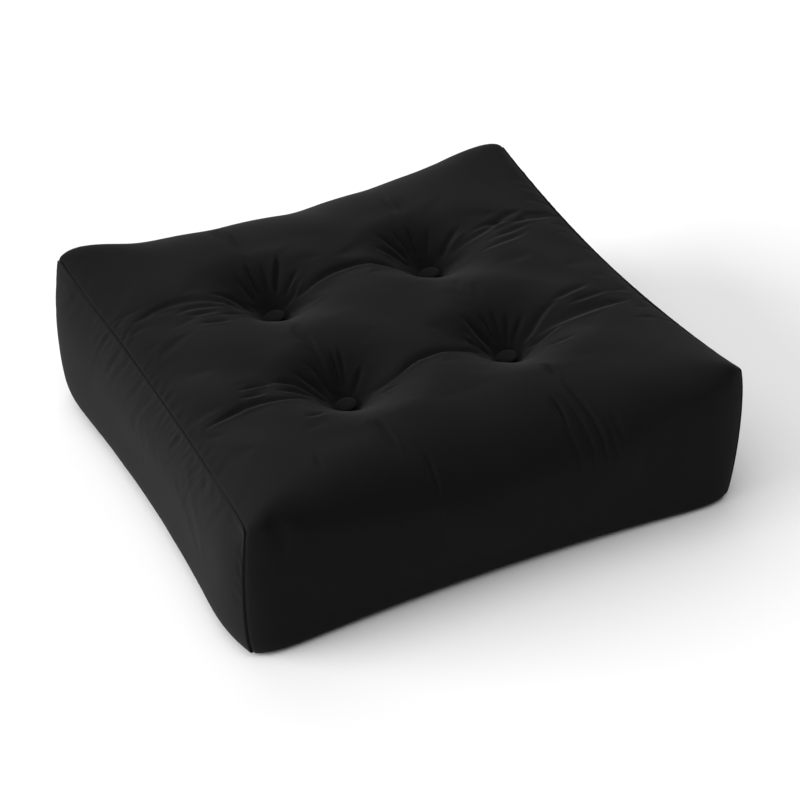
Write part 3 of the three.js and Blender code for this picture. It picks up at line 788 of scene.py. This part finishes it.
class ShaderTree:
    """The nodes of one material or of the world."""

    def __init__(self, tree: bpy.types.NodeTree) -> None:
        """Empties the tree."""
        self.nodes = tree.nodes
        self.links = tree.links
        self.nodes.clear()

    @staticmethod
    def of(owner: bpy.types.Material | bpy.types.World) -> "ShaderTree":
        """The empty tree of a material or world."""
        owner.use_nodes = True
        return ShaderTree(owner.node_tree)

    def node(self, kind: str, settings: Mapping[str, Any], sockets: Mapping[Any, Any]) -> bpy.types.Node:
        """Adds one node.

        Args:
            kind: the node's type.
            settings: its properties, set before its sockets; stops are a ramp's places and tones.
            sockets: what its inputs get, by name or index.

        Returns:
            The node.
        """
        node = self.nodes.new(kind)
        for name, setting in settings.items():
            if name == "stops":
                self.set_stops(node.color_ramp, setting)
            else:
                setattr(node, name, setting)
        for key, given in sockets.items():
            if isinstance(given, Value):
                self.links.new(given.socket, node.inputs[key])
            else:
                node.inputs[key].default_value = given
        return node

    @staticmethod
    def set_stops(ramp: bpy.types.ColorRamp, stops: Sequence[Pair]) -> None:
        """Gives a ramp its places and grey tones."""
        while len(ramp.elements) < len(stops):
            ramp.elements.new(1.0)
        for element, (place, tone) in zip(ramp.elements, stops):
            element.position = place
            element.color = (tone, tone, tone, 1.0)

    def value(
        self, kind: str, settings: Mapping[str, Any], sockets: Mapping[Any, Any], out: Any = 0
    ) -> Value:
        """Adds one node and gives one of its outputs."""
        return Value(self, self.node(kind, settings, sockets).outputs[out])

    def surface(self, sockets: Mapping[str, Any]) -> None:
        """Ends the tree of a material with its surface."""
        surface = self.value("ShaderNodeBsdfPrincipled", {}, sockets)
        self.node("ShaderNodeOutputMaterial", {}, {"Surface": surface})


@dataclass(frozen=True)
class BlackCloth:
    """A plain close-woven matt black cloth with a soft nap.

    Tones are linear, pitches and the height of the threads in metres.
    """

    name: str
    tone: float = 0.0036
    tone_change: float = 0.12
    roughness: float = 0.88
    roughness_change: float = 0.06
    sheen: float = 0.068
    sheen_roughness: float = 0.6
    sheen_tone: float = 0.5
    shine: float = 0.02
    blue: float = 1.01
    thread_pitch: float = 0.0009
    thread_height: float = 0.00006
    thread_share: float = 0.7
    nap_pitch: float = 0.004
    nap_share: float = 0.6
    mottle_pitch: float = 0.05
    mottle_share: float = 0.6
    noise_roughness: float = 0.5
    bump: float = 0.35

    def material(self) -> bpy.types.Material:
        """Builds the material."""
        material = bpy.data.materials.new(self.name)
        tree = ShaderTree.of(material)
        place = tree.value("ShaderNodeAttribute", {"attribute_name": "cloth_place"}, {}, "Vector")
        axes = tree.node("ShaderNodeSeparateXYZ", {}, {0: place})
        turn = 2.0 * math.pi / self.thread_pitch
        warp, weft = ((Value(tree, axes.outputs[axis]) * turn).sine() for axis in ("X", "Y"))
        threads = warp * weft * 0.5 + 0.5
        mottle = self.noise(place, self.mottle_pitch, 3.0)
        nap = self.noise(place, self.nap_pitch, 2.0)
        shade = mottle * self.mottle_share + nap * (1.0 - self.mottle_share)
        low, high = self.tone * (1.0 - self.tone_change), self.tone * (1.0 + self.tone_change)
        tones = {"Factor": shade, 6: (low, low, low, 1.0), 7: (high, high, high * self.blue, 1.0)}
        rough = (nap - 0.5) * (2.0 * self.roughness_change) + self.roughness
        height = threads * self.thread_share + nap * self.nap_share
        relief = {"Strength": self.bump, "Distance": self.thread_height, "Height": height}
        tree.surface({
            "Base Color": tree.value("ShaderNodeMix", {"data_type": "RGBA"}, tones, 2),
            "Roughness": rough,
            "Specular IOR Level": self.shine,
            "Sheen Weight": self.sheen,
            "Sheen Roughness": self.sheen_roughness,
            "Sheen Tint": (self.sheen_tone, self.sheen_tone, self.sheen_tone, 1.0),
            "Normal": tree.value("ShaderNodeBump", {}, relief),
        })
        return material

    def noise(self, place: Value, pitch: float, detail: float) -> Value:
        """Soft noise over the cloth whose features are about pitch wide."""
        sockets = {"Vector": place, "Scale": 1.0 / pitch, "Detail": detail}
        sockets["Roughness"] = self.noise_roughness
        return place.tree.value("ShaderNodeTexNoise", {}, sockets)


@dataclass(frozen=True)
class PaleFloor:
    """A plain pale floor."""

    tone: float = 0.74
    roughness: float = 0.7
    roughness_change: float = 0.1
    patch_scale: float = 3.0
    shine: float = 0.1

    def material(self) -> bpy.types.Material:
        """Builds the material."""
        material = bpy.data.materials.new("pale_floor")
        tree = ShaderTree.of(material)
        patches = tree.value("ShaderNodeTexNoise", {}, {"Scale": self.patch_scale, "Detail": 2.0})
        rough = patches * self.roughness_change + self.roughness
        colour = (self.tone, self.tone, self.tone, 1.0)
        tree.surface({"Base Color": colour, "Roughness": rough, "Specular IOR Level": self.shine})
        return material


@dataclass
class Cushion:
    """The filled body in its wrap panel, with two plainly closed ends.

    Sizes are in millimetres. roll_length is the panel's true length over an upper edge, seam_held the
    width along the seams that the settling holds, and the calms turn the settling's motion down near
    the upper seam corners, near the floor and, to a share, past the flat part of the top.
    """

    form: PlainForm
    finish: BlackCloth
    wide_spacing: float = 3.5
    tuft_spacing: float = 2.0
    tuft_span: Pair = (76.0, 164.0)
    tuft_margin: float = 14.0
    face_spacing: float = 4.6
    low_face_share: float = 0.75
    roll_length: float = 140.0
    seam_spacing: float = 0.9
    seam_span: float = 24.0
    inset: float = 2.3
    end_closing: Pair = (338.0, 100.0)
    seam_held: float = 2.0
    corner_calm: float = 75.0
    floor_calm: float = 40.0
    roll_calm: float = 0.15
    roll_calm_lead: float = 20.0
    roll_calm_change: float = 60.0
    settling: Settling = Settling()
    relief: Relief = field(init=False)

    def __post_init__(self) -> None:
        """Sets out the relief on this form."""
        self.relief = Relief(self.form)

    def lines(self) -> tuple[Array, Array]:
        """Grid lines across the width, as s, and along the wrap panel, as q, closest about the buttons."""
        form, wide, close = self.form, self.wide_spacing, self.tuft_spacing
        (near, far), margin = self.tuft_span, self.tuft_margin
        tufted = [(0.0, wide), (near - margin, wide), (near, close), (far, close), (far + margin, wide)]
        seam = [(form.half_width - self.seam_span, wide), (form.half_width, self.seam_spacing)]
        across = grade([*tufted, *seam])
        edge_share = (form.edge_end - form.level_end) / self.roll_length
        along = grade([
            *tufted,
            (form.level_end, wide),
            (form.level_end + 1.0, wide * edge_share),
            (form.edge_end, self.face_spacing * edge_share),
            (form.face_end, self.face_spacing * self.low_face_share),
            (form.wrap_end, self.face_spacing),
        ])
        return mirrored(across) / form.half_width, mirrored(along)

    def skin(self, s: Array, q: Array, fine: bool) -> Array:
        """The wrap panel's points at grids of s and q, with or without its narrow folds."""
        form, relief = self.form, self.relief
        points, normals = form.wrap(s, q)
        points[..., 0] -= s * self.inset
        fade = 1.0 - np.abs(s) ** relief.seam_fade
        sunk = fade * relief.sunk(points[..., 0], q, points[..., 2], fine)
        if fine:
            from_seam = (1.0 - np.abs(s)) * form.half_width
            sunk = sunk + relief.groove.at(s < 0, np.abs(q) - form.corner, from_seam)
            sunk = sunk + relief.gathered(s, q)
        return points - normals * sunk[..., None]

    def settled_skin(self, s_lines: Array, q_lines: Array) -> Array:
        """The finished points after the cloth has settled over the filling."""
        s, q = np.meshgrid(s_lines, q_lines, indexing="ij")
        skin = self.skin(s, q, True)
        coarse = Settling.every_other(s_lines), Settling.every_other(q_lines)
        s, q = np.meshgrid(*coarse, indexing="ij")
        start = self.skin(s, q, False)
        form, along = self.form, np.abs(q)
        from_seam = (1.0 - np.abs(s)) * form.half_width
        held = (from_seam < self.seam_held) | (along > form.face_end)
        for tuft in TUFTS:
            held |= np.hypot(start[..., 0] - tuft.x, start[..., 1] - tuft.y) < self.relief.pit_radius
        moved = self.settling.settle(start, held)
        from_corner = np.hypot(from_seam, along - form.corner)
        rolled = smooth((along - form.level_true + self.roll_calm_lead) / self.roll_calm_change)
        calm = 1.0 - np.exp(-((from_corner / self.corner_calm) ** 2))
        calm *= smooth((form.face_end - along) / self.floor_calm)
        calm *= mix(1.0, self.roll_calm, rolled)
        moved *= calm[..., None]
        skin = skin + Settling.spread(moved, coarse, (s_lines, q_lines))
        skin[..., 2] = np.maximum(skin[..., 2], 0.0)
        return skin

    def cloth_places(self, points: Array) -> Array:
        """Each point's place on the flat cloth, in metres, from lengths measured along the grid."""
        across = np.linalg.norm(np.diff(points, axis=0), axis=-1)
        along = np.linalg.norm(np.diff(points, axis=1), axis=-1)
        u = np.concatenate([np.zeros((1, points.shape[1])), np.cumsum(across, axis=0)])
        v = np.concatenate([np.zeros((points.shape[0], 1)), np.cumsum(along, axis=1)], axis=1)
        u -= u[len(u) // 2]
        v -= v[:, v.shape[1] // 2][:, None]
        return np.stack([u, v, np.zeros_like(u)], axis=-1) * MM

    def build(self) -> bpy.types.Object:
        """Returns:
            The finished piece.
        """
        s_lines, q_lines = self.lines()
        skin = self.settled_skin(s_lines, q_lines)
        rows, columns = skin.shape[:2]
        points = skin.reshape(-1, 3)
        faces = Mould.grid_faces(rows, columns).tolist()
        cloth = self.cloth_places(skin).reshape(-1, 3)
        reach, height = self.end_closing
        first = {End.LEFT: 0, End.RIGHT: (rows - 1) * columns}
        for end in End:
            rim = first[end] + np.arange(columns)
            faces += Mould.fan(rim, len(points), end is End.RIGHT).tolist()
            points = np.concatenate([points, [[end.value * reach, 0.0, height]]])
            cloth = np.concatenate([cloth, np.zeros((1, 3))])
        front = np.arange(rows) * columns
        back = front + columns - 1
        faces.append(np.concatenate([front, back[::-1]]).tolist())
        piece = Mould.piece("wrap_panel", points, faces, cloth)
        piece.data.materials.append(self.finish.material())
        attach(piece, ROOT)
        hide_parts("cushion_body")
        return piece


@dataclass
class EndPanel:
    """An end panel of cloth, sewn in along its four sides, in millimetres.

    puckers are each kind of pucker below the upper seam, with how far before the corners it ends, and
    low_calm is where the settling's motion fades, as shares of the way down.
    """

    form: PlainForm
    end: End
    finish: BlackCloth
    thickness: float = 2.0
    bulge: float = 23.5
    bulge_power_top: float = 3.0
    bulge_power_floor: float = 8.0
    bulge_power_sides: float = 9.0
    bow_reach: float = 90.0
    spacing: float = 3.0
    seam_spacing: float = 0.9
    seam_span: float = 14.0
    seam_share: float = 0.8
    top_span: float = 24.0
    floor_span: float = 30.0
    floor_share: float = 0.5
    groove: SeamGroove = SeamGroove(28.0)
    roll_in: float = 0.35
    puckers: tuple[tuple[Puckers, float], ...] = (
        (Puckers(17.0, 72.0, 1.8, 4.0, 0.42, 31), 12.0),
        (Puckers(10.0, 44.0, 1.3, 2.8, 0.36, 35), 12.0),
        (Puckers(27.0, 110.0, 1.3, 4.6, 0.3, 40), 30.0),
    )
    lumps: float = 0.25
    lump_waves: Waves = Waves(90.0, 31)
    lump_height: float = 0.6
    seam_held: float = 1.0
    seam_calm: float = 6.0
    low_calm: Pair = (0.3, 0.7)
    settling: Settling = Settling(slack=0.0035, most=0.6)

    SAMPLES = 800

    def border(self, q: Array) -> Array:
        """The plain outline at places q along the wrap panel."""
        s = np.full_like(q, float(self.end.value))
        return self.form.wrap(s, q)[0]

    def lines(self) -> tuple[Array, Array]:
        """Places q along the upper seam, and down an upright seam from its corner."""
        form, spacing, close = self.form, self.spacing, self.seam_spacing
        near = form.level_end - self.seam_span
        half = grade([(0.0, spacing), (near, spacing * self.seam_share), (form.corner, close)])
        q = np.linspace(form.corner, form.wrap_end, self.SAMPLES)
        height = self.border(-q)[:, 2]
        top = height[0]
        level = [(self.top_span, spacing), (top - self.floor_span, spacing)]
        depths = grade([(0.0, close), *level, (top, spacing * self.floor_share)])
        return mirrored(half), np.interp(depths, top - height, q)

    def face(self, q_top: Array, q_down: Array) -> tuple[Array, Array, Array]:
        """The plain face of the panel.

        Args:
            q_top: places of its columns along the upper seam.
            q_down: places of its rows along an upright seam.

        Returns:
            Its points as rows from the top down, each from the front to the back, with each point's
            share of the way down and distance from the nearest seam.
        """
        form, side = self.form, self.end.value
        top, front, back = self.border(q_top), self.border(-q_down), self.border(q_down)
        bows = form.bow(front[:, 1], front[:, 2])
        front[:, 0] -= side * bows
        back[:, 0] -= side * bows
        across = (top[:, 1] - top[0, 1]) / (top[-1, 1] - top[0, 1])
        down = 1.0 - front[:, 2] / front[0, 2]
        floor = mix(front[-1], back[-1], across[:, None])
        floor[:, 0] = side * form.end_reach(np.array(side), floor[:, 1], floor[:, 2])
        a, d = across[None, :, None], down[:, None, None]
        points = top[None] * (1 - d) + floor[None] * d + front[:, None] * (1 - a) + back[:, None] * a
        points = points - top[0] * (1 - a) * (1 - d) - top[-1] * a * (1 - d)
        points = points - front[-1] * (1 - a) * d - back[-1] * a * d
        depth = top[-1, 1] - top[0, 1]
        from_side = np.minimum(across, 1.0 - across)[None] * depth
        kept = np.exp(-((from_side / self.bow_reach) ** 2))
        power = np.where(down < 0.5, self.bulge_power_top, self.bulge_power_floor)[:, None]
        upright = 1.0 - np.abs(2.0 * down[:, None] - 1.0) ** power
        swell = upright * (1.0 - np.abs(2.0 * across[None] - 1.0) ** self.bulge_power_sides)
        points[..., 0] += side * (self.bulge * swell + bows[:, None] * kept)
        height = front[0, 2]
        from_seam = np.minimum(np.minimum(down, 1.0 - down)[:, None] * height, from_side)
        return points, np.broadcast_to(down[:, None], swell.shape), from_seam

    def own(self, kind: Any) -> Any:
        """Waves or puckers of this kind with this end's own seed."""
        return replace(kind, seed=kind.seed + self.end.value)

    def relief(self, points: Array, down: Array, from_seam: Array) -> Array:
        """How far the seam's puckers and the filling press each point in."""
        y, z = points[..., 1], points[..., 2]
        total = np.zeros_like(y)
        from_top = down * self.form.corner_height
        for puckers, margin in self.puckers:
            total = total + self.own(puckers).at(y, from_top, self.form.half_depth - margin)
        uneven = self.lumps * self.own(self.lump_waves).at(y, z * self.lump_height)
        return (total + uneven) * smooth(from_seam / self.seam_span)

    def settled(self, q_top: Array, q_down: Array) -> Array:
        """How far the cloth moves as it settles over the filling, on the grid of these lines."""
        coarse = (Settling.every_other(q_down), Settling.every_other(q_top))
        start, _, from_seam = self.face(coarse[1], coarse[0])
        outward = slice(None, None, self.end.value)
        moved = self.settling.settle(start[:, outward], from_seam < self.seam_held)[:, outward]
        return Settling.spread(moved, coarse, (q_down, q_top))

    def build(self) -> bpy.types.Object:
        """Returns:
            The finished piece.
        """
        side = self.end.value
        q_top, q_down = self.lines()
        outer, down, from_seam = self.face(q_top, q_down)
        outer[..., 0] -= side * self.relief(outer, down, from_seam)
        high, low = self.low_calm
        calm = smooth(from_seam / self.seam_calm) * smooth((low - down) / (low - high))
        outer = outer + self.settled(q_top, q_down) * calm[..., None]
        outer[..., 2] = np.maximum(outer[..., 2], 0.0)
        roll = self.groove.at(self.end is End.LEFT, down * self.form.corner_height, from_seam)
        inner = outer.copy()
        inner[..., 0] -= side * self.thickness
        outer[..., 0] -= side * roll * self.roll_in
        rows, columns = from_seam.shape
        count = rows * columns
        centre = np.array([0.0, 0.0, outer[0, :, 2].mean() / 2.0])
        for layer in (outer, inner):
            inward = centre - layer
            inward[..., 0] = 0.0
            steps = inward / np.linalg.norm(inward, axis=-1, keepdims=True)
            layer += steps * roll[..., None]
        points = np.concatenate([outer.reshape(-1, 3), inner.reshape(-1, 3)])
        flip = self.end is End.RIGHT
        faces = Mould.grid_faces(rows, columns, 0, not flip).tolist()
        faces += Mould.grid_faces(rows, columns, count, flip).tolist()
        ring = np.concatenate([
            np.arange(columns),
            np.arange(1, rows) * columns + columns - 1,
            (rows - 1) * columns + np.arange(columns - 2, -1, -1),
            np.arange(rows - 2, 0, -1) * columns,
        ])
        faces += Mould.band(ring, ring + count, flip).tolist()
        flat = outer.reshape(-1, 3)[:, [1, 2]] * MM
        cloth = np.concatenate([flat, np.zeros((count, 1))], axis=1)
        name = self.end.name.lower()
        piece = Mould.piece(f"end_cloth_{name}", points, faces, np.concatenate([cloth, cloth]))
        piece.data.materials.append(self.finish.material())
        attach(piece, ROOT)
        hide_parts(f"end_panel_{name}")
        return piece


@dataclass
class CoveredButton:
    """A button form with cloth stretched over it, gathered under its rim.

    back is the narrow part under the rim, as shares of the radius and heights, and gather_span where
    the gathers fade out, from the back and from the top.
    """

    tuft: Tuft
    finish: BlackCloth
    radius: float = 14.0
    height: float = 5.8
    rim: float = 2.6
    lift: float = 2.4
    lean: Pair = (0.12, -0.06)
    dome_power: float = 0.6
    back: tuple[Pair, ...] = ((0.8, 0.0), (0.95, 0.5))
    sides: int = 72
    rings: int = 14
    gathers: int = 18
    gather_depth: float = 0.25
    gather_span: Pair = (1.0, 1.0)

    def profile(self) -> Array:
        """Radius and height of the button's half section, from its back up over the dome."""
        low = np.array([(self.radius * share, height) for share, height in self.back])
        angle = np.linspace(0.0, math.pi / 2.0, self.rings, endpoint=False)
        dome = np.stack([
            self.radius * np.cos(angle) ** self.dome_power,
            self.rim + (self.height - self.rim) * np.sin(angle),
        ], axis=1)
        return np.concatenate([low, dome])

    def build(self) -> bpy.types.Object:
        """Returns:
            The finished piece.
        """
        low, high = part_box(self.tuft.node)
        seat = np.array([(low.x + high.x) / 2.0, (low.y + high.y) / 2.0, low.z]) / MM
        profile, sides = self.profile(), self.sides
        angle = np.arange(sides) * 2.0 * math.pi / sides
        ripple = np.cos(angle * self.gathers) * self.gather_depth
        start, end = self.gather_span
        low_share = 1.0 - smooth((profile[:, 1] - start) / (self.height - start - end))
        radius = profile[:, :1] + ripple[None] * low_share[:, None]
        x, y = radius * np.cos(angle), radius * np.sin(angle)
        z = np.broadcast_to(profile[:, 1:], radius.shape)
        points = np.stack([x, y, z], axis=-1).reshape(-1, 3)
        points = np.concatenate([points, [[0.0, 0.0, self.height], [0.0, 0.0, 0.0]]])
        points[:, 2] += self.lift + points[:, :2] @ self.lean
        points += seat
        rims = np.arange(len(profile) * sides).reshape(len(profile), sides)
        faces = np.concatenate([Mould.band(*pair) for pair in zip(rims, rims[1:])]).tolist()
        faces += Mould.fan(rims[-1], len(points) - 2).tolist()
        faces += Mould.fan(rims[0], len(points) - 1, flip=True).tolist()
        piece = Mould.piece(f"covered_{self.tuft.node}", points, faces, (points - seat) * MM)
        piece.data.materials.append(self.finish.material())
        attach(piece, ROOT)
        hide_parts(self.tuft.node)
        return piece


@dataclass
class Studio:
    """The floor, the lights and the camera."""

    floor_half: float = 30.0
    azimuth: float = -26.72
    elevation: float = 36.59
    distance: float = 2.9894
    target: tuple[float, float, float] = (-0.0202, -0.0717, 0.128)
    lens: float = 100.4
    sensor: float = 36.0
    dome_low: float = 0.07
    dome_high: float = 0.2
    dome_foot: float = 0.15
    background: float = 1.0

    def build_floor(self) -> bpy.types.Object:
        """Lays the floor."""
        half = self.floor_half / MM
        points = np.array([[-half, -half, 0.0], [half, -half, 0.0], [half, half, 0.0], [-half, half, 0.0]])
        floor = Mould.piece("studio_floor", points, [[0, 1, 2, 3]])
        floor.data.materials.append(PaleFloor().material())
        return floor

    def build_dome(self) -> None:
        """Lights the scene from a soft dome, brightest overhead, and shows a plain pale backdrop."""
        world = bpy.data.worlds.new("studio_dome")
        tree = ShaderTree.of(world)
        place = tree.value("ShaderNodeTexCoord", {}, {}, "Generated")
        height = tree.value("ShaderNodeSeparateXYZ", {}, {0: place}, "Z")
        stops = [(0.0, self.dome_low), (self.dome_foot, self.dome_low), (1.0, self.dome_high)]
        glow = tree.value("ShaderNodeValToRGB", {"stops": stops}, {0: height})
        light = tree.value("ShaderNodeBackground", {}, {"Color": glow})
        shown = (self.background, self.background, self.background, 1.0)
        seen = tree.value("ShaderNodeBackground", {}, {"Color": shown})
        straight = tree.value("ShaderNodeLightPath", {}, {}, "Is Camera Ray")
        choice = tree.value("ShaderNodeMixShader", {}, {0: straight, 1: light, 2: seen})
        tree.node("ShaderNodeOutputWorld", {}, {"Surface": choice})
        bpy.context.scene.world = world

    def add_sun(self, name: str, azimuth: float, elevation: float, strength: float, spread: float) -> None:
        """Adds a broad far light.

        Args:
            name: the lamp's name.
            azimuth: degrees from the front (-Y) towards the right (+X).
            elevation: degrees above the floor.
            strength: its power on a facing surface, in watts per square metre.
            spread: its width in degrees.
        """
        lamp = bpy.data.lights.new(name, "SUN")
        lamp.energy = strength
        lamp.angle = math.radians(spread)
        sun = linked(name, lamp)
        sun.rotation_euler = (math.radians(90.0 - elevation), 0.0, math.radians(azimuth))

    def build_lights(self) -> None:
        """Sets the lamps."""
        self.add_sun("left_window", -105.0, 10.0, 6.8, 50.0)
        self.add_sun("back_panel", 165.0, 45.0, 0.7, 60.0)
        self.add_sun("ceiling_panel", -60.0, 70.0, 2.35, 60.0)
        self.add_sun("right_wall", 112.0, 2.0, 0.8, 30.0)

    def build_camera(self) -> None:
        """Sets the camera at the photograph's angle."""
        az, el = math.radians(self.azimuth), math.radians(self.elevation)
        back = np.array([math.sin(az) * math.cos(el), -math.cos(az) * math.cos(el), math.sin(el)])
        data = bpy.data.cameras.new("camera")
        data.lens = self.lens
        data.sensor_width = self.sensor
        camera = linked("camera", data)
        camera.location = np.array(self.target) + back * self.distance
        camera.rotation_euler = (math.radians(90.0 - self.elevation), 0.0, az)
        bpy.context.scene.camera = camera


def main() -> None:
    """Builds the studio and the pouf, and reports each piece."""
    logging.basicConfig(level=logging.INFO, format="%(name)s: %(message)s")
    studio = Studio()
    studio.build_camera()
    studio.build_floor()
    studio.build_dome()
    studio.build_lights()
    bpy.context.scene.view_settings.view_transform = "Standard"
    form = PlainForm()
    pieces = [Cushion(form, BlackCloth("wrap_cloth")).build()]
    pieces += [EndPanel(form, end, BlackCloth("end_cloth")).build() for end in End]
    for tuft in TUFTS:
        pieces.append(CoveredButton(tuft, BlackCloth("button_cloth", tone=0.0033, sheen=0.06)).build())
    for piece in pieces:
        log.info("%s: %d points, %d faces", piece.name, len(piece.data.vertices), len(piece.data.polygons))


if __name__ == "__main__":
    main()
